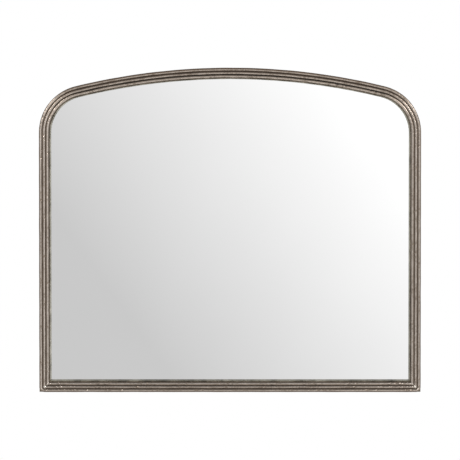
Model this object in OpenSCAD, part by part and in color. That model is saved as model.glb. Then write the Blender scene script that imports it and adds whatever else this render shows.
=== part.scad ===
// Arched wall mirror with a reeded metal frame.
// X runs across the mirror, -Y faces the room, +Z is up. The wall is the plane Y = 0, and the
// origin lies on it, midway between the two hooks that the hanging rings bear on.
// The frame is a flat steel ring with three half-round reeds on its face and a steel strip
// bent round each edge. A rebated wooden subframe inside it holds the glass and the backing
// board, and two swinging rings on straps hang the whole from the wall.

/* [Outline] */
// Overall width, measured over the outer reeds
frame_w = 1000; // [700:10:1300]
// Overall height, from the bottom edge to the crown of the arch
frame_h = 850; // [600:10:1200]
// Radius of the crown along the outer edge
crown_r = 1710; // [1300:10:3000]
// Radius of the shoulders along the outer edge
shoulder_r = 125; // [70:1:200]

/* [Reeds] */
// Diameter of the rod that each reed is made from
reed_d = 8.6; // [6:0.1:12]
// Gap between neighbouring reeds
reed_gap = 0.2; // [0.1:0.05:1]
// Depth of the flat on the back of a reed
reed_flat = 1.5; // [0.8:0.1:2.5]

/* [Steel shell] */
// Thickness of the face plate under the reeds
plate_t = 2; // [1.5:0.1:4]
// Width of the face plate's ledge inside the reeds
ledge_w = 1.8; // [0.5:0.1:3]
// Thickness of the strip round the outside
band_t = 2; // [1.5:0.1:3]
// Height of the outside strip's rim over the backing board
rim_h = 1; // [0.5:0.1:3]
// Thickness of the strip round the sight edge
lip_t = 2.5; // [1.5:0.1:4]
// Depth of the strip round the sight edge
lip_d = 8; // [5:0.5:14]

/* [Glass and backing] */
// Thickness of the mirror glass
glass_t = 4; // [3:0.5:6]
// Width of the glass that the sight edge hides
glass_lap = 6.5; // [5:0.5:9]
// Gap round the edge of the glass
edge_gap = 3; // [2:0.5:4]
// Thickness of the foam tape in front of the glass
tape_t = 1; // [0.5:0.1:3]
// Width of the foam tape
tape_w = 4.5; // [3:0.5:5]
// Thickness of the foam sheet behind the glass
foam_t = 1; // [0.5:0.1:3]
// Thickness of the backing board
board_t = 3; // [3:0.5:6]
// Gap between the backing board and the outside strip
board_gap = 1; // [0.5:0.1:2]
// Glue line between the subframe and the steel
bond = 0.3; // [0.2:0.05:0.5]

/* [Blocks and bumpers] */
// Length of a block that the glass stands on
block_l = 60; // [40:5:100]
// Distance of each block from the middle
block_x = 250; // [150:10:280]
// Length of a spacer beside the glass
spacer_l = 40; // [20:5:60]
// Height of the lower side spacers over the bottom edge
spacer_low = 150; // [100:10:200]
// Distance of the upper side spacers below the spring of the arch
spacer_drop = 110; // [90:10:140]
// Diameter of a wall bumper
bumper_d = 16; // [10:1:24]
// Height of a wall bumper, which sets the gap behind the mirror
bumper_h = 8; // [7.5:0.5:14]
// Inset of the wall bumpers from the outside edges
bumper_in = 42; // [34:1:60]
// Distance of the upper wall bumpers below the spring of the arch
bumper_drop = 16; // [10:1:40]

/* [Board screws] */
// Diameter of every wood screw
screw_d = 3.5; // [3:0.1:3.8]
// Length of a board screw under its head
screw_l = 12; // [9:0.5:15]
// Diameter of a screw head
head_d = 7; // [6:0.1:8]
// Height of a screw head
head_h = 2.2; // [1.5:0.1:2.4]
// Depth of the cross recess in a screw head
cross_h = 1.1; // [0.6:0.1:1.2]
// Width of the arms of the cross recess
cross_w = 0.9; // [0.6:0.1:1.2]
// Span of the cross recess
cross_l = 4; // [3:0.1:4.5]
// Length of a screw's point
point_l = 3; // [2:0.1:4]
// Number of screws along the bottom
sill_screws = 4; // [2:1:6]
// Distance of the outermost bottom screws from the outside edges
sill_screw_in = 80; // [60:5:120]
// Number of screws up each side
side_screws = 3; // [2:1:4]
// Height of the lowest side screw over the bottom edge
side_screw_low = 110; // [80:5:140]
// Distance of the highest side screw below the spring of the arch
side_screw_drop = 190; // [170:5:220]
// Number of screws along the crown
crown_screws = 5; // [3:1:7]
// Distance of the outermost crown screws from the shoulders, along the arc
crown_screw_in = 80; // [60:5:110]

/* [Hanging rings] */
// Distance from the spring of the arch down to the hooks
hang_drop = 42; // [30:2:60]
// Inset of the rings' middle from the outside edges
hang_in = 11; // [11:0.5:14]
// Wire diameter of a ring
ring_wire = 3; // [2.5:0.1:3.4]
// Width of a ring between its legs
ring_in = 14; // [13.5:0.1:14]
// Straight length of a ring's legs
ring_leg = 5; // [4:0.5:8]
// Bend radius of a ring's corners, to the middle of the wire
ring_bend = 2.2; // [2:0.05:2.3]
// Thickness of a strap
strap_t = 1.2; // [1:0.1:1.6]
// Width of a strap
strap_w = 12; // [9:0.5:12]
// Distance from a ring's pin to the first screw of its strap
strap_first = 20; // [19.5:0.5:28]
// Distance between the two screws of a strap
strap_pitch = 14; // [11:0.5:20]
// Distance from the last screw to the end of the strap
strap_end = 8; // [6:0.5:12]
// Length of a strap's screws under their heads
strap_screw_l = 15; // [12:0.5:16]
// Gap between a ring that hangs down and its strap
ring_rest = 0.35; // [0.3:0.05:0.6]

/* [Fits] */
// Running clearance round a ring's pin
pin_play = 0.05; // [0.02:0.01:0.1]
// Clearance round a screw in the wood
screw_play = 0.05; // [0.02:0.01:0.1]
// Clearance round a screw in the board and the straps
hole_play = 0.4; // [0.2:0.05:0.6]
// Diameter of the dowels in the subframe
dowel_d = 6; // [5:0.5:8]
// Length of the dowels in the subframe
dowel_l = 40; // [24:2:60]
// Clearance round and beyond a dowel
dowel_play = 0.1; // [0.05:0.05:0.3]

/* [Hidden] */

// How smooth the small and the large round shapes are drawn
small_fn = 48;
large_fn = 360;
// Margin by which a cut runs past what it cuts
over = 1;
// How much thicker a reed is in its shoulder bends, and how far its straight ends run into them
bend_grow = 0.04;
bend_lap = 0.8;

// Insets from the outer edge to the parts of the section
reed_pitch = reed_d + reed_gap;
face_w = 3 * reed_pitch + ledge_w;
sub_out = band_t + bond;
sub_front = face_w - lip_t - bond;
glass_in = face_w - glass_lap;
sub_rear = glass_in - edge_gap;
board_in = band_t + board_gap;
tape_in = glass_in + tape_w;
screw_in = (sub_out + sub_rear) / 2;

// Depths, counted back from the wall
board_back = -bumper_h;
board_front = board_back - board_t;
glass_back = board_front - foam_t;
glass_front = glass_back - glass_t;
tape_front = glass_front - tape_t;
plate_back = tape_front - lip_d;
plate_front = plate_back - plate_t;
rim_y = board_back + rim_h;

// Heights. The hooks are the zero, so the bottom edge lies below it.
half_w = frame_w / 2;
shoulder_x = half_w - shoulder_r;
crown_to_spring = sqrt(pow(crown_r - shoulder_r, 2) - pow(shoulder_x, 2));
spring_h = frame_h - crown_r + crown_to_spring;
sill_z = hang_drop - spring_h;
spring_z = sill_z + spring_h;
crown_z = spring_z - crown_to_spring;
join_a = asin(shoulder_x / (crown_r - shoulder_r));
lap_a = asin(bend_lap / crown_r);
wedge_r = 1.1 * crown_r;
far_point = [wedge_r * sin(join_a), crown_z + wedge_r * cos(join_a)];

// Hanging rings
hang_x = half_w - hang_in;
ring_r = (ring_in + ring_wire) / 2;
pin_z = -(ring_leg + ring_in / 2);
pin_y = board_back + strap_t + ring_rest + ring_wire / 2;
eye_bore = ring_wire / 2 + pin_play;
eye_r = eye_bore + strap_t;

// The small ends of a screw's point and of its head
tip_d = screw_d / 6;
head_top_d = 0.7 * head_d;

// Places of the fasteners, as [x, z]
sill_screw_step = (frame_w - 2 * sill_screw_in) / (sill_screws - 1);
side_screw_step = (spring_h - side_screw_drop - side_screw_low) / (side_screws - 1);
crown_screw_a = join_a - crown_screw_in / (crown_r - screw_in) * 180 / PI;
crown_screw_step = 2 * crown_screw_a / (crown_screws - 1);
board_spots = concat(
    [for (i = [0 : sill_screws - 1]) [-half_w + sill_screw_in + i * sill_screw_step, sill_z + screw_in]],
    [for (s = [-1, 1]) for (i = [0 : side_screws - 1])
        [s * (half_w - screw_in), sill_z + side_screw_low + i * side_screw_step]],
    [for (s = [-1, 1]) shoulder_spot(s)],
    [for (i = [0 : crown_screws - 1]) crown_spot(i * crown_screw_step - crown_screw_a)]);
strap_spots = [for (s = [-1, 1]) for (i = [0, 1])
    [s * hang_x, pin_z - strap_first - i * strap_pitch]];
bumper_spots = concat(
    [for (s = [-1, 1]) [s * (half_w - bumper_in), sill_z + bumper_in]],
    [for (s = [-1, 1]) [s * (half_w - bumper_in), spring_z - bumper_drop]]);

// A point on the screw line over the crown, at an angle from the upright
function crown_spot(a) = [(crown_r - screw_in) * sin(a), crown_z + (crown_r - screw_in) * cos(a)];

// The point on the screw line halfway round a shoulder
function shoulder_spot(s) = [s * (shoulder_x + (shoulder_r - screw_in) * sin((90 + join_a) / 2)),
                             spring_z + (shoulder_r - screw_in) * cos((90 + join_a) / 2)];

// A flat shape in X and Z, given thickness between two depths
module slab(y0, y1) translate([0, y1, 0]) rotate([90, 0, 0]) linear_extrude(height = y1 - y0) children();

// A rectangle between two corners
module rect(x0, z0, x1, z1) polygon([[x0, z0], [x1, z0], [x1, z1], [x0, z1]]);

// What lies above the spring of the arch and beyond the line from the crown's centre through a
// shoulder's centre
module shoulder_side(s) intersection() {
    polygon([[0, crown_z], [s * far_point.x, far_point.y], [s * frame_w, far_point.y],
             [s * frame_w, crown_z]]);
    rect(-frame_w, spring_z, frame_w, far_point.y);
}

// What a shoulder takes off the corner between the crown and a side
module shoulder_cut(s, inset) difference() {
    shoulder_side(s);
    translate([s * shoulder_x, spring_z]) circle(r = shoulder_r - inset, $fn = large_fn);
}

// The arched outline, moved in from the outer edge: upright sides under the crown, less what
// the two shoulders take off
module outline(inset) difference() {
    intersection() {
        translate([0, crown_z]) circle(r = crown_r - inset, $fn = large_fn);
        rect(inset - half_w, sill_z + inset, half_w - inset, far_point.y);
    }
    for (s = [-1, 1]) shoulder_cut(s, inset);
}

// The strip of the outline between two insets
module ring(outer, inner) difference() {
    outline(outer);
    outline(inner);
}

// Everything on the bottom side of the two mitres
module sill_side() polygon([[-half_w - over, sill_z - over], [half_w + over, sill_z - over],
                            [half_w - 2 * face_w, sill_z + 2 * face_w],
                            [-half_w + 2 * face_w, sill_z + 2 * face_w]]);

// A strip bent round the arch, with mitred feet
module arch_strip(outer, inner) difference() {
    ring(outer, inner);
    sill_side();
}

// The straight strip along the bottom, with mitred ends
module sill_strip(outer, inner) intersection() {
    ring(outer, inner);
    sill_side();
}

// Section of a reed: a round rod with a flat back that lies on the line y = 0
module reed_section(grow = 0) intersection() {
    translate([0, reed_d / 2 - reed_flat]) circle(d = reed_d + grow, $fn = small_fn);
    translate([-reed_d, 0]) square([2 * reed_d, 2 * reed_d]);
}

// A stretch of reed bent round a centre in the plane of the frame
module reed_bend(x, z, r, from, to, grow) translate([x, plate_front, z]) rotate([90, 0, 0])
    rotate([0, 0, from]) rotate_extrude(angle = to - from, $fn = large_fn / 2)
        translate([r, 0]) reed_section(grow);

// The depths that a reed lies between, with a margin
module through_reeds() slab(plate_front - reed_d - over, plate_front + over) children();

// A reed round the arch, counted inwards from 0. The bend at each shoulder is drawn a hair
// thicker, and the ends of the crown and of the upright run into it.
module reed_arch(i) {
    inset = (i + 0.5) * reed_pitch;
    difference() {
        union() {
            reed_bend(0, crown_z, crown_r - inset, 90 - join_a - lap_a, 90 + join_a + lap_a, 0);
            for (s = [0, 1]) mirror([s, 0, 0]) {
                reed_bend(shoulder_x, spring_z, shoulder_r - inset, 0, 90 - join_a, bend_grow);
                translate([half_w - inset, plate_front, sill_z]) rotate([0, 0, 180])
                    linear_extrude(height = spring_h + bend_lap) reed_section();
            }
        }
        through_reeds() sill_side();
    }
}

// A reed along the bottom, counted inwards from 0
module reed_sill(i) intersection() {
    translate([0, plate_front, sill_z + (i + 0.5) * reed_pitch]) rotate([0, 90, 180])
        linear_extrude(height = frame_w, center = true) reed_section();
    through_reeds() sill_side();
}

// Round hole or peg along Y, from one depth to another
module along_y(d, y0, y1) translate([0, y1, 0]) rotate([90, 0, 0])
    cylinder(d = d, h = y1 - y0, $fn = small_fn);

// Wood screw with a pan head; its head stands on y = 0 and its point looks to -Y
module wood_screw(length) rotate([-90, 0, 0]) difference() {
    union() {
        translate([0, 0, point_l - length]) cylinder(d = screw_d, h = length - point_l, $fn = small_fn);
        translate([0, 0, -length]) cylinder(d1 = tip_d, d2 = screw_d, h = point_l, $fn = small_fn);
        cylinder(d = head_d, h = head_h / 2, $fn = small_fn);
        translate([0, 0, head_h / 2])
            cylinder(d1 = head_d, d2 = head_top_d, h = head_h / 2, $fn = small_fn);
    }
    for (a = [0, 90]) rotate([0, 0, a])
        translate([-cross_l / 2, -cross_w / 2, head_h - cross_h]) cube([cross_l, cross_w, head_h]);
}

// Holes in the wood for the screws of the board and of the straps
module screw_pilots() {
    for (p = board_spots) translate([p.x, 0, p.y])
        along_y(screw_d + 2 * screw_play, board_back - screw_l - screw_play, board_back);
    for (p = strap_spots) translate([p.x, 0, p.y])
        along_y(screw_d + 2 * screw_play, board_back + strap_t - strap_screw_l - screw_play, board_back);
}

// Section of the subframe: a wide front layer that the glass seats on, a narrow rear layer
// beside the glass, split by the shapes passed in
module subframe_part() difference() {
    intersection() {
        union() {
            slab(plate_back, tape_front) ring(sub_out, sub_front);
            slab(tape_front, board_front) ring(sub_out, sub_rear);
        }
        slab(plate_back - over, board_front + over) children();
    }
    screw_pilots();
    for (s = [-1, 1]) dowel(s, dowel_play);
}

// A dowel across the joint between a stile and the head, with play all round
module dowel(s, play) translate([s * (half_w - screw_in), (plate_back + board_front) / 2, spring_z])
    cylinder(d = dowel_d + 2 * play, h = dowel_l + 2 * play, center = true, $fn = small_fn);

// The part of the section plane beside the opening, below the spring of the arch
module stile_side(s) difference() {
    rect(0, sill_z - over, s * frame_w, spring_z);
    sill_side();
}

module face_plate() color([0.34, 0.31, 0.28]) slab(plate_front, plate_back) ring(0, face_w);

module side_band_arch() color([0.36, 0.33, 0.30]) slab(plate_back, rim_y) arch_strip(0, band_t);

module side_band_sill() color([0.36, 0.33, 0.30]) slab(plate_back, rim_y) sill_strip(0, band_t);

module sight_lip_arch() color([0.28, 0.27, 0.22])
    slab(plate_back, tape_front) arch_strip(face_w - lip_t, face_w);

module sight_lip_sill() color([0.28, 0.27, 0.22])
    slab(plate_back, tape_front) sill_strip(face_w - lip_t, face_w);

module outer_reed_arch() color([0.60, 0.56, 0.52]) reed_arch(0);

module middle_reed_arch() color([0.58, 0.54, 0.50]) reed_arch(1);

module inner_reed_arch() color([0.60, 0.56, 0.52]) reed_arch(2);

module outer_reed_sill() color([0.60, 0.56, 0.52]) reed_sill(0);

module middle_reed_sill() color([0.58, 0.54, 0.50]) reed_sill(1);

module inner_reed_sill() color([0.60, 0.56, 0.52]) reed_sill(2);

module subframe_head() color([0.66, 0.52, 0.36]) subframe_part()
    rect(-frame_w, spring_z, frame_w, far_point.y);

module subframe_left() color([0.66, 0.52, 0.36]) subframe_part() stile_side(-1);

module subframe_right() color([0.66, 0.52, 0.36]) subframe_part() stile_side(1);

module subframe_rail() color([0.66, 0.52, 0.36]) subframe_part() sill_side();

module subframe_dowels() color([0.82, 0.70, 0.50]) for (s = [-1, 1]) dowel(s, 0);

module glazing_tape() color([0.15, 0.15, 0.15]) slab(tape_front, glass_front) ring(glass_in, tape_in);

module mirror_glass() color([0.86, 0.88, 0.87]) slab(glass_front, glass_back) outline(glass_in);

// The glass stands on two blocks, clear of the rail
module setting_blocks() color([0.12, 0.12, 0.12]) for (s = [-1, 1])
    translate([s * block_x - block_l / 2, glass_front, sill_z + sub_rear])
        cube([block_l, glass_t, edge_gap]);

// Two spacers on each side hold the glass in the middle
module edge_spacers() color([0.12, 0.12, 0.12])
    for (s = [-1, 1]) for (z = [sill_z + spacer_low, spring_z - spacer_drop])
        translate([s * (half_w - sub_rear - edge_gap / 2) - edge_gap / 2, glass_front, z - spacer_l / 2])
            cube([edge_gap, glass_t, spacer_l]);

module foam_sheet() color([0.92, 0.92, 0.90]) slab(glass_back, board_front) outline(glass_in);

module backing_board() color([0.50, 0.36, 0.24]) difference() {
    slab(board_front, board_back) outline(board_in);
    for (p = concat(board_spots, strap_spots)) translate([p.x, 0, p.y])
        along_y(screw_d + 2 * hole_play, board_front - over, board_back + over);
}

module board_screws() color([0.78, 0.72, 0.50])
    for (p = board_spots) translate([p.x, board_back, p.y]) wood_screw(screw_l);

module wall_bumpers() color([0.20, 0.20, 0.20])
    for (p = bumper_spots) translate([p.x, 0, p.y]) along_y(bumper_d, board_back, 0);

// A strap lies on the board under its two screws, and its end is rolled into an eye for the pin
module hanger_strap(s) translate([s * hang_x, 0, 0]) difference() {
    union() {
        translate([-strap_w / 2, board_back, pin_z - strap_first - strap_pitch - strap_end])
            cube([strap_w, strap_t, strap_first + strap_pitch + strap_end]);
        translate([0, pin_y, pin_z]) rotate([0, 90, 0])
            cylinder(r = eye_r, h = strap_w, center = true, $fn = small_fn);
    }
    translate([0, pin_y, pin_z]) rotate([0, 90, 0])
        cylinder(r = eye_bore, h = strap_w + 2 * over, center = true, $fn = small_fn);
    for (i = [0, 1]) translate([0, 0, pin_z - strap_first - i * strap_pitch])
        along_y(screw_d + 2 * hole_play, board_back - over, board_back + strap_t + over);
}

module hanger_strap_left() color([0.72, 0.70, 0.66]) hanger_strap(-1);

module hanger_strap_right() color([0.72, 0.70, 0.66]) hanger_strap(1);

module hanger_screws() color([0.78, 0.72, 0.50])
    for (p = strap_spots) translate([p.x, board_back + strap_t, p.y]) wood_screw(strap_screw_l);

// A bend of the ring's wire about a centre in the ring's plane
module wire_bend(x, z, r, from, to) translate([x, 0, z]) rotate([90, 0, 0])
    rotate([0, 0, from]) rotate_extrude(angle = to - from, $fn = large_fn / 4)
        translate([r, 0]) circle(d = ring_wire, $fn = small_fn);

// A ring hangs from its pin: the pin, two bent corners, two legs and a round bow
module d_ring(s) translate([s * hang_x, pin_y, pin_z]) {
    rotate([0, 90, 0])
        cylinder(d = ring_wire, h = 2 * (ring_r - ring_bend), center = true, $fn = small_fn);
    wire_bend(ring_r - ring_bend, -ring_bend, ring_bend, 0, 90);
    wire_bend(-ring_r + ring_bend, -ring_bend, ring_bend, 90, 180);
    for (side = [-1, 1]) translate([side * ring_r, 0, -ring_leg])
        cylinder(d = ring_wire, h = ring_leg - ring_bend, $fn = small_fn);
    wire_bend(0, -ring_leg, ring_r, 180, 360);
}

module d_ring_left() color([0.75, 0.73, 0.70]) d_ring(-1);

module d_ring_right() color([0.75, 0.73, 0.70]) d_ring(1);

face_plate();
side_band_arch();
side_band_sill();
sight_lip_arch();
sight_lip_sill();
outer_reed_arch();
middle_reed_arch();
inner_reed_arch();
outer_reed_sill();
middle_reed_sill();
inner_reed_sill();
subframe_head();
subframe_left();
subframe_right();
subframe_rail();
subframe_dowels();
glazing_tape();
mirror_glass();
setting_blocks();
edge_spacers();
foam_sheet();
backing_board();
board_screws();
wall_bumpers();
hanger_strap_left();
hanger_strap_right();
hanger_screws();
d_ring_left();
d_ring_right();
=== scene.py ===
import math

import bpy
import numpy as np
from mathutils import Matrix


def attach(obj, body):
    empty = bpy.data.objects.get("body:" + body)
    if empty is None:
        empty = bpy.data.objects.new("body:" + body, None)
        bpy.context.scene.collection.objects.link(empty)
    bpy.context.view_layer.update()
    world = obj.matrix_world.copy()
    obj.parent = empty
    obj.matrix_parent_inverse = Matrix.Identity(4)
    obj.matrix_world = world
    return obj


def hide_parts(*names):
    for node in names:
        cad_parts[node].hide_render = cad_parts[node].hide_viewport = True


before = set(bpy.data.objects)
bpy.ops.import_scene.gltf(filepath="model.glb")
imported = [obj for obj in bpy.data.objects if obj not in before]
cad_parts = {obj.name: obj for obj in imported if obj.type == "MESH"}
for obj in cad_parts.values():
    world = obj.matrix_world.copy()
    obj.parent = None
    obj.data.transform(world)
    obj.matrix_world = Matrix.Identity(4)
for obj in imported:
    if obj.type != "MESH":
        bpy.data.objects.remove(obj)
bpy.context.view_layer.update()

# ------------------------------------------------------------------------------------------------
# Subframe: the head, two stiles and the bottom rail, of medium-density fibreboard, sawn and left
# raw, glued inside the steel shell. Sawn fibreboard is even and matt, with a faint mealy fleck,
# drawn coarser than the real fibre so that it shows.
# ------------------------------------------------------------------------------------------------
MM = 0.001
fleck_mm = 1.5


def linear(code):
    """An sRGB hex colour as linear red, green, blue and alpha: each channel c turns into
    ((c + 0.055) / 1.055) ** 2.4, or c / 12.92 near black."""
    c = np.array([int(code[i:i + 2], 16) for i in (1, 3, 5)]) / 255
    return (*np.where(c > 0.04045, ((c + 0.055) / 1.055) ** 2.4, c / 12.92), 1.0)


def add(tree, kind, inputs=None, **settings):
    """Adds a node. inputs gives each input, by name or number, a value or another node's socket,
    and settings are the node's own."""
    node = tree.nodes.new("ShaderNode" + kind)
    for name, value in settings.items():
        setattr(node, name, value)
    for key, value in (inputs or {}).items():
        if isinstance(value, bpy.types.NodeSocket):
            tree.links.new(value, node.inputs[key])
        else:
            node.inputs[key].default_value = value
    return node


def start(name, **sockets):
    """A new material with a principled shader, whose own sockets take the numbers given."""
    material = bpy.data.materials.new(name)
    material.use_nodes = True
    tree = material.node_tree
    tree.nodes.clear()
    shader = add(tree, "BsdfPrincipled", sockets)
    add(tree, "OutputMaterial", {"Surface": shader.outputs[0]})
    return material, tree, shader


def stops(ramp, *pairs):
    """Sets a colour ramp's stops from pairs of place and hex colour."""
    band = ramp.color_ramp.elements
    while len(band) < len(pairs):
        band.new(0.5)
    for stop, (place, code) in zip(band, pairs):
        stop.position, stop.color = place, linear(code)


def coat(material, *names):
    """Gives CAD nodes a finish."""
    for name in names:
        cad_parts[name].data.materials.clear()
        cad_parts[name].data.materials.append(material)


fibreboard, tree, shader = start("raw_fibreboard_sawn", Roughness=0.85)
place = add(tree, "TexCoord").outputs["Object"]
fleck = add(tree, "TexNoise", {"Vector": place, "Scale": 1 / (fleck_mm * MM), "Detail": 5.0})
tone = add(tree, "ValToRGB", {"Fac": fleck.outputs["Fac"]})
stops(tone, (0.3, "#8C6B49"), (0.55, "#A98659"), (0.75, "#BE9C70"))
bump = add(tree, "Bump", {"Height": fleck.outputs["Fac"], "Strength": 0.3, "Distance": 0.1 * MM})
tree.links.new(tone.outputs[0], shader.inputs["Base Color"])
tree.links.new(bump.outputs[0], shader.inputs["Normal"])
coat(fibreboard, "subframe_head", "subframe_left", "subframe_right", "subframe_rail")

# ------------------------------------------------------------------------------------------------
# Dowels: two turned beech pegs, glued half in each stile and half in the head. Beech is pale and
# fine, with short darker rays along the peg.
# ------------------------------------------------------------------------------------------------
ray_mm, ray_stretch = 0.8, 0.12

beech, tree, shader = start("beech_turned", Roughness=0.6)
place = add(tree, "TexCoord").outputs["Object"]
along = add(tree, "Mapping", {"Vector": place, "Scale": (1, 1, ray_stretch)}).outputs[0]
rays = add(tree, "TexNoise", {"Vector": along, "Scale": 1 / (ray_mm * MM), "Detail": 4.0})
tone = add(tree, "ValToRGB", {"Fac": rays.outputs["Fac"]})
stops(tone, (0.35, "#B48A5C"), (0.6, "#D0AB7C"))
tree.links.new(tone.outputs[0], shader.inputs["Base Color"])
coat(beech, "subframe_dowels")

# ------------------------------------------------------------------------------------------------
# Steel shell: the face plate under the reeds, with its narrow ledge at the sight edge, and the
# strips bent round the outside and the sight edge. Cut and welded mild steel with a dark patina,
# satin and cloudy. The strip at the sight edge of the arch has the olive patina of the one along
# the bottom in lighter tones, as painted light on a wall that stands in shade beside the glass.
# ------------------------------------------------------------------------------------------------
cloud_mm = 35.0
grain_mm = 1.2  # coarser than the real grain, so that it shows


def patina(name, dark, middle, light, roughness, bare=0.85):
    """Patinated steel: three tones laid by a cloud pattern, broken up by fine grain, with a satin
    sheen that turns dull where the patina is thick."""
    material, tree, shader = start(name, Metallic=bare)
    place = add(tree, "TexCoord").outputs["Object"]
    cloud = add(tree, "TexNoise", {"Vector": place, "Scale": 1 / (cloud_mm * MM), "Detail": 6.0,
                                   "Roughness": 0.62})
    grain = add(tree, "TexNoise", {"Vector": place, "Scale": 1 / (grain_mm * MM), "Detail": 3.0})
    both = add(tree, "Mix", {"Factor": 0.35, "A": cloud.outputs["Fac"], "B": grain.outputs["Fac"]},
               data_type="FLOAT")
    tone = add(tree, "ValToRGB", {"Fac": both.outputs["Result"]})
    stops(tone, (0.38, dark), (0.5, middle), (0.64, light))
    dull = add(tree, "MapRange", {"Value": both.outputs["Result"], "From Min": 0.35,
                                  "From Max": 0.65, "To Min": roughness + 0.15,
                                  "To Max": roughness - 0.1})
    bump = add(tree, "Bump", {"Height": grain.outputs["Fac"], "Strength": 0.25,
                              "Distance": 0.1 * MM})
    tree.links.new(tone.outputs[0], shader.inputs["Base Color"])
    tree.links.new(dull.outputs[0], shader.inputs["Roughness"])
    tree.links.new(bump.outputs[0], shader.inputs["Normal"])
    return material


coat(patina("mild_steel_bronze_black_patina", "#38322A", "#6A5F50", "#928776", 0.5), "face_plate")
coat(patina("mild_steel_pewter_patina", "#443E36", "#6C6357", "#90867A", 0.45),
     "side_band_arch", "side_band_sill")
# Painted light: the same olive patina as the bottom strip, in lighter tones for the arch.
coat(patina("mild_steel_olive_patina_painted_lighter", "#77725F", "#A5A190", "#C4C0B0", 0.45, bare=0.4),
     "sight_lip_arch")
coat(patina("mild_steel_olive_patina", "#4E4B3F", "#7C796A", "#A19E8C", 0.5, bare=0.4),
     "sight_lip_sill")

# ------------------------------------------------------------------------------------------------
# Reeds: three rods of soft white metal round the arch and three along the bottom, flat at the
# back, soldered on side by side. The outer two turn round the bottom corners, the inner one is
# mitred square. Hammered by hand, silvered, toned brown, then rubbed back so the crests shine.
# Part of the brown is painted shade, heavier over the crown and along the bottom, and the light
# line on each crest is moved inwards as a painted highlight.
# ------------------------------------------------------------------------------------------------
half_w, sill_z, spring_z = 500 * MM, -638 * MM, 42 * MM
shoulder_x, shoulder_r, crown_r = 375 * MM, 125 * MM, 1710 * MM
plate_front = -27 * MM
quarter = math.pi / 2
join = math.asin(shoulder_x / (crown_r - shoulder_r))  # the slope where crown and shoulder meet
bend_cut = 1 - math.sqrt(0.5)  # how much of its radius a bend cuts off a square corner, each way

reed_r, reed_flat, reed_pitch = 4.3 * MM, 1.5 * MM, 8.8 * MM
reed_rise = reed_r - reed_flat  # the rod's middle above the plate
reed_step, reed_sides = 1.2 * MM, 24
mitre_reach = 12 * MM

# What the hammer leaves: small ripples that slant round the rod, slight sways across and forwards,
# and hollows, stronger and weaker in bouts. It spares the last few millimetres at each end.
hammer = np.random.default_rng(11)
ripple_mm, ripple_high, ripple_slant = (9.1, 12.7, 17.9, 29.3), 0.04 * MM, 3 * MM
across_mm, across_high = (61, 97, 143), 0.12 * MM
forward_mm, forward_high = (53, 119), 0.1 * MM
dent_spacing, dent_deep, dent_side = 1.6 * MM, 0.3 * MM, 1.3
dent_narrow_mm, dent_wide_mm = 1.4, 2.6
bout_long = 110 * MM
spared = 5 * MM

# Solder: a fillet against each neighbour, and a polished bead at each mitre, whose near-white
# colour is a painted highlight.
solder_high, solder_from, solder_out = 1.5 * MM, 1.0, 0.1 * MM
bead_high, bead_reach = 0.45 * MM, 1.8 * MM

# Toning: patina in the grooves, with painted shade in it. It is thinnest at the lean, in
# radians, inwards of the crest, which moves the light line there as a painted highlight. It has
# a weight for the stiles, and more painted shade is added over the crown and along the bottom. A
# hollow as deep as full_hollow counts as 1.
painted_highlight_lean = 0.3
stile_weight, crown_painted_shade, sill_painted_shade = 0.78, 0.92, 0.4
full_hollow = 0.25 * MM

# For each reed: the radius of its corner bend, the share of a full bead at its mitres, whether a
# reed lies outwards and inwards of it, the toning of its outward flank, of its inward flank and
# what a level run adds to the outward one as painted shade, and the colour of its grooves, a
# patina darkened with painted shade, down to near-black on the inner reed.
rods = {
    "outer": {"bend": 9 * MM, "beads": 0, "beside": (False, True),
              "toning_and_shade": (1.0, 1.15, 0.6), "groove": "#58483A"},
    "middle": {"bend": 4.8 * MM, "beads": 1, "beside": (True, True),
               "toning_and_shade": (0.9, 1.0, 0.4), "groove": "#41362E"},
    "inner": {"bend": 0, "beads": 0.35, "beside": (True, False),
              "toning_and_shade": (0.95, 0.8, 0.1), "groove": "#292420"},
}


def line(begin, stretches):
    """A flat line drawn by its heading, with points about reed_step apart. Each stretch has a
    length and a heading at each end, and the heading turns evenly in between. x and z are the
    running sums of the steps times the cosine and sine of the heading midway along each."""
    lengths = np.array([s[0] for s in stretches])
    ends = np.concatenate([[0], np.cumsum(lengths)])
    along = np.linspace(0, ends[-1], int(round(ends[-1] / reed_step)) + 1)
    which = np.clip(np.searchsorted(ends, along, side="right") - 1, 0, len(stretches) - 1)
    first, last = (np.array([s[i] for s in stretches])[which] for i in (1, 2))
    heading = first + (last - first) * (along - ends[which]) / lengths[which]
    middle = (heading[1:] + heading[:-1]) / 2
    steps = np.diff(along)
    x = begin[0] + np.concatenate([[0], np.cumsum(np.cos(middle) * steps)])
    z = begin[1] + np.concatenate([[0], np.cumsum(np.sin(middle) * steps)])
    return along, x, z, heading


def arch_line(inset, bend):
    """The middle of a reed from the left mitre up the stile, over the crown and down to the right
    mitre. Half of each bottom corner's bend, an eighth of a circle, belongs to it."""
    foot = sill_z + inset + bend
    reach = half_w - inset - bend * bend_cut
    side = spring_z - foot
    shoulder = (shoulder_r - inset) * (quarter - join)
    stretches = [(side, quarter, quarter), (shoulder, quarter, join),
                 (2 * (crown_r - inset) * join, join, -join),
                 (shoulder, -join, -quarter), (side, -quarter, -quarter)]
    if bend:
        eighth = bend * quarter / 2
        stretches = [(eighth, 1.5 * quarter, quarter), *stretches,
                     (eighth, -quarter, -1.5 * quarter)]
    return line((-reach, foot - bend * math.sqrt(0.5)), stretches)


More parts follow.
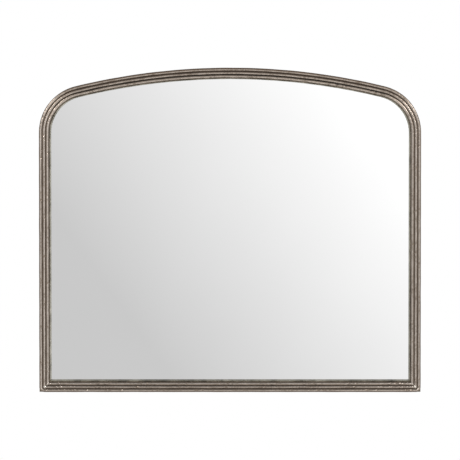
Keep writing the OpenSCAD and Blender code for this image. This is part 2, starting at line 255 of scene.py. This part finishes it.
def sill_line(inset, bend):
    """The middle of a reed along the bottom, from the right mitre to the left one, with the other
    half of each corner's bend."""
    reach = half_w - inset - bend * bend_cut
    stretches = [(2 * (half_w - inset - bend), 2 * quarter, 2 * quarter)]
    if bend:
        eighth = bend * quarter / 2
        stretches = [(eighth, 2.5 * quarter, 2 * quarter), *stretches,
                     (eighth, 2 * quarter, 1.5 * quarter)]
    return line((reach, sill_z + inset + bend * bend_cut), stretches)


def waves(along, lengths_mm, height):
    """A sum of sines of the given wavelengths with random phases, over the root of their number,
    times the height."""
    total = 0
    for length in lengths_mm:
        phase = hammer.uniform(0, 2 * math.pi)
        total = total + np.sin(2 * math.pi * along / (length * MM) + phase)
    return height * total / math.sqrt(len(lengths_mm))


def dents(along, turn):
    """Round hollows at random places on the rod, the sum of one bell curve for each: its depth
    times exp of minus the squared distance over the squared width. The depth is a random share of
    dent_deep, times 0.6 and half a sine along the rod, which makes the bouts."""
    count = int(along[-1, 0] / dent_spacing)
    at = hammer.uniform(0, along[-1, 0], count)
    side = hammer.uniform(-dent_side, dent_side, count)
    wide = hammer.uniform(dent_narrow_mm, dent_wide_mm, count) * MM
    deep = dent_deep * hammer.uniform(0.3, 1.0, count)
    phase = hammer.uniform(0, 2 * math.pi)
    deep = deep * (0.6 + 0.5 * np.sin(2 * math.pi * at / bout_long + phase))
    hollow = np.zeros_like(turn + along)
    for a, b, w, d in zip(at, side, wide, deep):
        near = slice(*np.searchsorted(along[:, 0], (a - 3 * w, a + 3 * w)))
        far = ((along[near] - a) ** 2 + ((turn - b) * reed_r) ** 2) / w ** 2
        hollow[near] += d * np.exp(-far)
    return hollow


def reed(name, rod, route, metal):
    """Carries a rod's section along its line. A point of the section at angle t from the crest
    lies r sin t outwards and r cos t forwards of the rod's middle, and the flat back closes the
    ring. r shrinks in the hammer's hollows and swells at a bead. A flank beside another reed comes
    forward to the fillet's height. A square end is cut at 45 degrees by moving each point along
    the line by its own distance from the middle.
    The toning grows with the angle from its thinnest place, by a factor for each flank: patina in
    the grooves with painted shade in it. Where the reed is level it is heavier, by the fourth
    power of the cosine of its heading, and that part is painted shade."""
    along, x, z, heading = route
    limit = math.pi - math.acos(reed_rise / reed_r)
    turn = np.linspace(-limit, limit, reed_sides)[None, :]
    run, head = along[:, None], heading[:, None]
    exposed = np.cos(np.clip(turn, -quarter, quarter)) ** 0.5
    from_end = np.minimum(run, along[-1] - run)
    struck = 1 - np.exp(-(from_end / spared) ** 2)
    ripple = waves(run + ripple_slant * turn, ripple_mm, ripple_high)
    bead = rod["beads"] * np.exp(-(from_end / bead_reach) ** 2)
    radius = reed_r + struck * exposed * (ripple - dents(run, turn)) + bead_high * bead * exposed

    across = radius * np.sin(turn) + struck * waves(run, across_mm, across_high)
    forward = (radius * np.cos(turn)
               + struck * np.clip(np.cos(turn), 0, 1) * waves(run, forward_mm, forward_high))
    fillet = np.where(turn > 0, *rod["beside"]) & (np.abs(turn) < quarter)
    forward = np.where(fillet, np.maximum(forward, solder_high), forward)
    outwards = np.where(fillet & (np.abs(turn) > solder_from), solder_out, 0)
    across = across + outwards * np.sign(turn)

    near_start = np.clip(1 - run / mitre_reach, 0, 1) ** 2
    near_end = np.clip(1 - (along[-1] - run) / mitre_reach, 0, 1) ** 2
    shift = (rod["bend"] == 0) * across * (near_end - near_start)
    points = np.stack([x[:, None] + shift * np.cos(head) - across * np.sin(head),
                       plate_front - reed_rise - forward,
                       z[:, None] + shift * np.sin(head) + across * np.cos(head)], axis=-1)

    rings = len(along)
    number = np.arange(rings * reed_sides).reshape(rings, reed_sides)
    beside = np.roll(number, -1, axis=1)
    quads = np.stack([number[:-1], number[1:], beside[1:], beside[:-1]], axis=-1).reshape(-1, 4)
    faces = quads.tolist() + [number[0].tolist(), number[-1][::-1].tolist()]
    mesh = bpy.data.meshes.new(name)
    mesh.from_pydata(points.reshape(-1, 3).tolist(), [], faces)
    smooth = np.ones(len(faces), bool)
    smooth[-2:] = False
    mesh.polygons.foreach_set("use_smooth", smooth)

    # Painted shade and highlight: level runs, and most of all the outward flank of a level run,
    # get heavier toning than the stiles, and the least toned line sits a little inwards of the
    # crest.
    outward, inward, level = rod["toning_and_shade"]
    crown, sill = (np.clip(way * np.cos(head), 0, 1) ** 4 for way in (1, -1))
    flank = np.where(turn > -painted_highlight_lean, outward + level * (crown + sill), inward)
    weight = stile_weight + crown_painted_shade * crown + sill_painted_shade * sill
    whole = np.zeros((rings, reed_sides))
    values = {"groove": np.abs(turn + painted_highlight_lean) / quarter * flank * weight, "bead": bead + whole,
              "hollow": (reed_r - radius) / full_hollow}
    for key, value in values.items():
        attribute = mesh.attributes.new(key, "FLOAT", "POINT")
        attribute.data.foreach_set("value", value.astype(np.float32).ravel())
    corners = np.concatenate([quads.ravel(), number[0], number[-1][::-1]])
    spread = np.stack([run + whole, reed_r * turn + whole], axis=-1).reshape(-1, 2)[corners]
    unrolled = mesh.uv_layers.new(name="along_and_round")
    unrolled.data.foreach_set("uv", spread.astype(np.float32).ravel())
    mesh.materials.append(metal)
    piece = bpy.data.objects.new(name, mesh)
    bpy.context.scene.collection.objects.link(piece)
    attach(piece, "mirror")
    return piece


# The finish: the sizes of its toned patches, specks, rubbed streaks and small hammer marks.
patch_mm, speck_mm = 30, 2.2
rub_mm, rub_stretch = 1.1, 0.04
blow_mm = 3.2


def silvered(name, seed, groove_tone):
    """Hammered white metal, silvered, toned and rubbed back. The toning fills the grooves, as
    patina with painted shade in it, and lies in patches, specks, rubbed streaks and hollows
    elsewhere: it is the attribute groove plus a share of each pattern. It makes the metal darker,
    duller and less bare. The beads turn near-white, a painted highlight on polished solder, and
    small hammer marks and specks break up the shine. seed shifts the patterns, so that no two rods
    are alike."""
    material, tree, shader = start(name)
    spread = add(tree, "UVMap", uv_map="along_and_round")
    own = add(tree, "Mapping", {"Vector": spread.outputs[0],
                                "Location": (seed * 3.7, seed * 1.3, 0)}).outputs[0]
    patch = add(tree, "TexNoise", {"Vector": own, "Scale": 1 / (patch_mm * MM), "Detail": 6.0,
                                   "Roughness": 0.6})
    speck = add(tree, "TexNoise", {"Vector": own, "Scale": 1 / (speck_mm * MM), "Detail": 4.0,
                                   "Roughness": 0.6})
    streak = add(tree, "Mapping", {"Vector": own, "Scale": (rub_stretch, 1, 1)})
    rub = add(tree, "TexNoise", {"Vector": streak.outputs[0], "Scale": 1 / (rub_mm * MM),
                                 "Detail": 2.0})
    edge, hollow, bead = (add(tree, "Attribute", attribute_name=key).outputs["Fac"]
                          for key in ("groove", "hollow", "bead"))
    for pattern, share in ((patch.outputs["Fac"], 0.4), (speck.outputs["Fac"], 0.25),
                           (hollow, 0.14), (rub.outputs["Fac"], 0.3)):
        edge = add(tree, "Math", {0: pattern, 1: share, 2: edge},
                   operation="MULTIPLY_ADD").outputs[0]
    # The toning, patina with painted shade in it, smoothed to run from 0 to 1.
    toned = add(tree, "MapRange", {"Value": edge, "From Min": 0.5, "From Max": 1.5},
                interpolation_type="SMOOTHSTEP").outputs[0]
    tone = add(tree, "ValToRGB", {"Fac": toned})
    stops(tone, (0.0, "#C6BBB1"), (0.14, "#9C9085"), (0.4, "#84776A"), (0.7, "#786B5E"),
          (1.0, groove_tone))
    # Painted highlight: the beads turn towards a near-white colour, lighter than any crest.
    bright = add(tree, "Mix", {"Factor": bead, "A": tone.outputs[0], "B": linear("#EAE3D9")},
                 data_type="RGBA")
    dull = add(tree, "MapRange", {"Value": toned, "To Min": 0.16, "To Max": 0.55})
    bare = add(tree, "MapRange", {"Value": toned, "From Min": 0.2, "From Max": 0.8,
                                  "To Min": 1.0, "To Max": 0.4})
    blow = add(tree, "TexVoronoi", {"Vector": own, "Scale": 1 / (blow_mm * MM), "Smoothness": 0.4},
               voronoi_dimensions="2D", feature="SMOOTH_F1")
    beaten = add(tree, "Bump", {"Height": blow.outputs["Distance"], "Strength": 0.45,
                                "Distance": 0.35 * MM})
    bump = add(tree, "Bump", {"Height": speck.outputs["Fac"], "Strength": 0.6,
                              "Distance": 0.15 * MM, "Normal": beaten.outputs[0]})
    tree.links.new(bright.outputs["Result"], shader.inputs["Base Color"])
    tree.links.new(bare.outputs[0], shader.inputs["Metallic"])
    tree.links.new(dull.outputs[0], shader.inputs["Roughness"])
    tree.links.new(bump.outputs[0], shader.inputs["Normal"])
    return material


for count, (name, rod) in enumerate(rods.items()):
    inset = (count + 0.5) * reed_pitch
    for part, route in (("arch", arch_line(inset, rod["bend"])),
                        ("sill", sill_line(inset, rod["bend"]))):
        metal = silvered(f"white_metal_hammered_silvered_{name}_{part}",
                         1 + count + 3 * (part == "sill"), rod["groove"])
        piece = reed(f"{name}_reed_{part}_hammered", rod, route, metal)
        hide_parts(f"{name}_reed_{part}")

# ------------------------------------------------------------------------------------------------
# Mirror glass: float glass, silvered on the back, cut to the arch. It is nearly neutral and as
# flat as float glass is, with only a slow, faint drift in its tone and its gloss.
# ------------------------------------------------------------------------------------------------
drift_mm = 400

silver, tree, shader = start("float_glass_silvered", Metallic=1.0)
place = add(tree, "TexCoord").outputs["Object"]
drift = add(tree, "TexNoise", {"Vector": place, "Scale": 1 / (drift_mm * MM), "Detail": 2.0})
tint = add(tree, "ValToRGB", {"Fac": drift.outputs["Fac"]})
stops(tint, (0.3, "#F4F4F4"), (0.7, "#F6F6F6"))
haze = add(tree, "MapRange", {"Value": drift.outputs["Fac"], "To Min": 0.008, "To Max": 0.02})
tree.links.new(tint.outputs[0], shader.inputs["Base Color"])
tree.links.new(haze.outputs[0], shader.inputs["Roughness"])
coat(silver, "mirror_glass")

# ------------------------------------------------------------------------------------------------
# Glazing tape, setting blocks and spacers: black closed-cell foam tape between the glass and the
# frame, and cut rubber blocks that keep the glass off the wood. Matt black and finely pitted, with
# the pits drawn coarser than real ones so that they show.
# ------------------------------------------------------------------------------------------------


def rubber(name, dark, light, pit_mm, roughness):
    """Matt rubber or foam: two near-black tones and a bump from one fine pattern."""
    material, tree, shader = start(name, Roughness=roughness)
    place = add(tree, "TexCoord").outputs["Object"]
    pits = add(tree, "TexNoise", {"Vector": place, "Scale": 1 / (pit_mm * MM), "Detail": 3.0})
    tone = add(tree, "ValToRGB", {"Fac": pits.outputs["Fac"]})
    stops(tone, (0.35, dark), (0.65, light))
    bump = add(tree, "Bump", {"Height": pits.outputs["Fac"], "Strength": 0.4,
                              "Distance": 0.1 * MM})
    tree.links.new(tone.outputs[0], shader.inputs["Base Color"])
    tree.links.new(bump.outputs[0], shader.inputs["Normal"])
    return material


coat(rubber("closed_cell_foam_tape", "#141414", "#242424", 0.6, 0.95), "glazing_tape")
coat(rubber("cut_rubber", "#1A1A1A", "#2B2A29", 1.0, 0.8), "setting_blocks", "edge_spacers")

# ------------------------------------------------------------------------------------------------
# Foam sheet: white polyethylene foam behind the silvering, cut to the glass. Its skin shows the
# closed cells as a soft pebble.
# ------------------------------------------------------------------------------------------------
cell_mm = 1.5

foam, tree, shader = start("polyethylene_foam_sheet", Roughness=0.7)
place = add(tree, "TexCoord").outputs["Object"]
cells = add(tree, "TexVoronoi", {"Vector": place, "Scale": 1 / (cell_mm * MM)})
tone = add(tree, "ValToRGB", {"Fac": cells.outputs["Distance"]})
stops(tone, (0.0, "#F4F4F1"), (0.9, "#DEDEDA"))
tree.links.new(tone.outputs[0], shader.inputs["Base Color"])
coat(foam, "foam_sheet")

# ------------------------------------------------------------------------------------------------
# Backing board: 3 mm hardboard, smooth side out, screwed to the subframe. Pressed brown wood
# fibre, with a slight sheen, darker fibres and paler scuffs. The fibres are drawn coarser than
# real ones so that they show.
# ------------------------------------------------------------------------------------------------
fibre_mm, scuff_mm = 1.3, 90

hardboard, tree, shader = start("hardboard_pressed", Roughness=0.5)
place = add(tree, "TexCoord").outputs["Object"]
fibre = add(tree, "TexNoise", {"Vector": place, "Scale": 1 / (fibre_mm * MM), "Detail": 6.0,
                               "Roughness": 0.7})
scuff = add(tree, "TexNoise", {"Vector": place, "Scale": 1 / (scuff_mm * MM), "Detail": 5.0,
                               "Distortion": 0.6})
both = add(tree, "Mix", {"Factor": 0.2, "A": fibre.outputs["Fac"], "B": scuff.outputs["Fac"]},
           data_type="FLOAT")
tone = add(tree, "ValToRGB", {"Fac": both.outputs["Result"]})
stops(tone, (0.3, "#4C3424"), (0.5, "#6B4A33"), (0.7, "#84603F"))
dull = add(tree, "MapRange", {"Value": scuff.outputs["Fac"], "From Min": 0.3, "From Max": 0.7,
                              "To Min": 0.42, "To Max": 0.66})
bump = add(tree, "Bump", {"Height": fibre.outputs["Fac"], "Strength": 0.2, "Distance": 0.08 * MM})
tree.links.new(tone.outputs[0], shader.inputs["Base Color"])
tree.links.new(dull.outputs[0], shader.inputs["Roughness"])
tree.links.new(bump.outputs[0], shader.inputs["Normal"])
coat(hardboard, "backing_board")

# ------------------------------------------------------------------------------------------------
# Screws, straps and D-rings: pressed, bent and turned steel, zinc plated in a barrel. The screws
# are passivated yellow, the straps and rings are bright, and both have a soft cloudy shine.
# ------------------------------------------------------------------------------------------------
plating_mm = 3


def zinc(name, dark, light, roughness):
    """Zinc plate on steel: two tones and a change of gloss from one cloudy pattern."""
    material, tree, shader = start(name, Metallic=1.0)
    place = add(tree, "TexCoord").outputs["Object"]
    cloud = add(tree, "TexNoise", {"Vector": place, "Scale": 1 / (plating_mm * MM), "Detail": 4.0})
    tone = add(tree, "ValToRGB", {"Fac": cloud.outputs["Fac"]})
    stops(tone, (0.35, dark), (0.65, light))
    dull = add(tree, "MapRange", {"Value": cloud.outputs["Fac"], "From Min": 0.3, "From Max": 0.7,
                                  "To Min": roughness, "To Max": roughness + 0.14})
    tree.links.new(tone.outputs[0], shader.inputs["Base Color"])
    tree.links.new(dull.outputs[0], shader.inputs["Roughness"])
    return material


coat(zinc("steel_yellow_zinc_plate", "#B79B57", "#D9C58B", 0.28), "board_screws", "hanger_screws")
coat(zinc("steel_bright_zinc_plate", "#A9A9A6", "#CFCFCB", 0.25),
     "hanger_strap_left", "hanger_strap_right", "d_ring_left", "d_ring_right")

# ------------------------------------------------------------------------------------------------
# Wall bumpers: four moulded rubber discs, stuck to the board near the corners, that hold the
# frame off the wall. Matt black, a little tapered, with a rounded rim and a shallow dimple.
# ------------------------------------------------------------------------------------------------
bumper_r, bumper_h, bumper_x = 8 * MM, 8 * MM, 458 * MM
bumper_z = (-596 * MM, 26 * MM)
bumper_sides = 40
dimple_deep, rim_r, taper_h = 1.0 * MM, 1.2 * MM, 5.5 * MM

# Radius and depth from the wall: the dimple, the rim as a quarter circle, the taper and the base.
bumper_profile = [(bumper_r * 0.35, -dimple_deep), (bumper_r * 0.55, -dimple_deep / 2),
                  (bumper_r * 0.7, 0.0)]
bumper_profile += [(bumper_r * 0.82 + rim_r * math.sin(t), -rim_r * (1 - math.cos(t)))
                   for t in np.linspace(0, quarter, 7)]
bumper_profile += [(bumper_r, -taper_h), (bumper_r, -bumper_h)]


def turned(name, profile, centres, material):
    """Turns a profile of radius and depth round an axis along Y, once for each centre. A point at
    angle a lies the radius times cos a across and times sin a up from the centre."""
    angle = np.linspace(0, 2 * math.pi, bumper_sides, endpoint=False)
    r, y = np.array(profile).T
    ring = np.stack([r[:, None] * np.cos(angle), y[:, None] + 0 * angle,
                     r[:, None] * np.sin(angle)], axis=-1)
    number = np.arange(len(r) * bumper_sides).reshape(len(r), bumper_sides)
    step = np.roll(number, -1, axis=1)
    quads = np.stack([number[:-1], step[:-1], step[1:], number[1:]], axis=-1).reshape(-1, 4)
    points, faces = [], []
    for n, (x, z) in enumerate(centres):
        base = n * len(r) * bumper_sides
        points += (ring + np.array([x, 0, z])).reshape(-1, 3).tolist()
        faces += (quads + base).tolist()
        faces += [(number[0][::-1] + base).tolist(), (number[-1] + base).tolist()]
    mesh = bpy.data.meshes.new(name)
    mesh.from_pydata(points, [], faces)
    mesh.materials.append(material)
    mesh.polygons.foreach_set("use_smooth", [len(face) == 4 for face in faces])
    piece = bpy.data.objects.new(name, mesh)
    bpy.context.scene.collection.objects.link(piece)
    return piece


moulded = turned("wall_bumpers_moulded", bumper_profile,
                 [(s * bumper_x, z) for s in (-1, 1) for z in bumper_z],
                 rubber("moulded_rubber", "#151515", "#232323", 0.8, 0.7))
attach(moulded, "mirror")
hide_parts("wall_bumpers")

# ------------------------------------------------------------------------------------------------
# Studio: a plain pale matt floor well below the mirror, which looks lighter to the camera and in
# reflections, a soft white room, and three soft lamps: high in front at each side, and behind.
# ------------------------------------------------------------------------------------------------
floor_z, floor_half = -1.75, 3.0
white = (1, 1, 1, 1)

mesh = bpy.data.meshes.new("floor")
mesh.from_pydata([(x * floor_half, y * floor_half, floor_z)
                  for x, y in ((-1, -1), (1, -1), (1, 1), (-1, 1))], [], [(0, 1, 2, 3)])
pale, tree, shader = start("floor_pale", Roughness=0.9)
shader.inputs["Base Color"].default_value = linear("#E6E6E4")
glow = add(tree, "Emission", {"Color": white, "Strength": 0.4})
lit = add(tree, "AddShader", {0: shader.outputs[0], 1: glow.outputs[0]})
ray = add(tree, "LightPath").outputs
seen = ray["Is Camera Ray"]
for other in (ray["Is Glossy Ray"], ray["Is Transmission Ray"]):
    seen = add(tree, "Math", {0: seen, 1: other}, operation="ADD").outputs[0]
either = add(tree, "MixShader", {0: seen, 1: shader.outputs[0], 2: lit.outputs[0]})
tree.links.new(either.outputs[0], tree.nodes["Material Output"].inputs["Surface"])
mesh.materials.append(pale)
floor = bpy.data.objects.new("floor", mesh)
bpy.context.scene.collection.objects.link(floor)

# The room that metal and glass reflect: brighter towards the upper right, and dimmer at the
# sides, straight overhead and far to the right.
world = bpy.data.worlds.new("studio")
bpy.context.scene.world = world
world.use_nodes = True
tree = world.node_tree
tree.nodes.clear()
axis = add(tree, "SeparateXYZ", {0: add(tree, "TexCoord").outputs["Generated"]}).outputs
slope = add(tree, "Math", {0: axis["Z"], 1: 0.73, 2: axis["X"]}, operation="MULTIPLY_ADD")
reflected = add(tree, "MapRange", {"Value": slope.outputs[0], "From Min": -0.206, "From Max": 0.2,
                                   "To Min": 0.64, "To Max": 1.205}).outputs[0]
facing = add(tree, "Math", {0: axis["Y"]}, operation="ABSOLUTE")
aside = add(tree, "Math", {0: axis["X"]}, operation="ABSOLUTE")
overhead = add(tree, "Math", {0: aside.outputs[0], 1: -0.9, 2: axis["Z"]},
               operation="MULTIPLY_ADD")
for value, begins, ends, first, last in ((facing.outputs[0], 0.1, 0.9, 0.8, 1.0),
                                         (overhead.outputs[0], 0.14, 0.45, 1.0, 0.25),
                                         (axis["X"], 0.45, 0.85, 1.0, 0.5)):
    dimmer = add(tree, "MapRange", {"Value": value, "From Min": begins, "From Max": ends,
                                    "To Min": first, "To Max": last},
                 interpolation_type="SMOOTHSTEP")
    reflected = add(tree, "Math", {0: reflected, 1: dimmer.outputs[0]},
                    operation="MULTIPLY").outputs[0]

# The room as a light is even and fades upwards and downwards. The camera sees it plain white.
height = add(tree, "Math", {0: axis["Z"]}, operation="ABSOLUTE")
even = add(tree, "MapRange", {"Value": height.outputs[0], "To Min": 1.0, "To Max": 0.35})
light, mirrored, backdrop = (add(tree, "Background", {"Color": white, "Strength": strength})
                             for strength in (even.outputs[0], reflected, 1.0))
ray = add(tree, "LightPath").outputs
mixed = add(tree, "MixShader", {0: ray["Is Glossy Ray"], 1: light.outputs[0],
                                2: mirrored.outputs[0]})
seen = add(tree, "Math", {0: ray["Is Camera Ray"], 1: ray["Is Transmission Ray"]}, operation="ADD")
mixed = add(tree, "MixShader", {0: seen.outputs[0], 1: mixed.outputs[0], 2: backdrop.outputs[0]})
add(tree, "OutputWorld", {"Surface": mixed.outputs[0]})

middle_z = -213 * MM


def softbox(name, place, size, power):
    """A square area lamp that faces the middle of the mirror."""
    lamp = bpy.data.lights.new(name, "AREA")
    lamp.shape, lamp.size, lamp.energy = "SQUARE", size, power
    box = bpy.data.objects.new(name, lamp)
    toward = np.array((0, 0, middle_z)) - np.array(place)
    box.location = place
    box.rotation_euler = (math.atan2(math.hypot(toward[0], toward[1]), -toward[2]), 0,
                          math.atan2(toward[1], toward[0]) - quarter)
    bpy.context.scene.collection.objects.link(box)


softbox("softbox_right", (1.9, -2.35, 1.15), 0.8, 30)
softbox("softbox_left", (-1.9, -2.35, 1.15), 0.8, 27)
softbox("softbox_behind", (-1.6, 3.0, 0.5), 1.6, 14)

# ------------------------------------------------------------------------------------------------
# Camera: straight in front of the mirror, a little above its middle and dipped by less than a
# degree, with the lens shifted down so that the mirror stays in the middle of the picture.
# ------------------------------------------------------------------------------------------------
distance, rise, dip, sensor = 2.8, 0.18, math.radians(0.7), 36.0
wide_at_front, front_y, centring = 1.2015, -34.1 * MM, 0.9 * MM

camera = bpy.data.objects.new("camera", bpy.data.cameras.new("camera"))
camera.data.sensor_width = sensor
camera.data.lens = sensor * distance / wide_at_front
camera.data.shift_y = -rise / wide_at_front
camera.location = (0, front_y - distance, middle_z + centring + rise + distance * math.tan(dip))
camera.rotation_euler = (quarter - dip, 0, 0)
bpy.context.scene.collection.objects.link(camera)
bpy.context.scene.camera = camera
bpy.context.scene.view_settings.view_transform = "Standard"
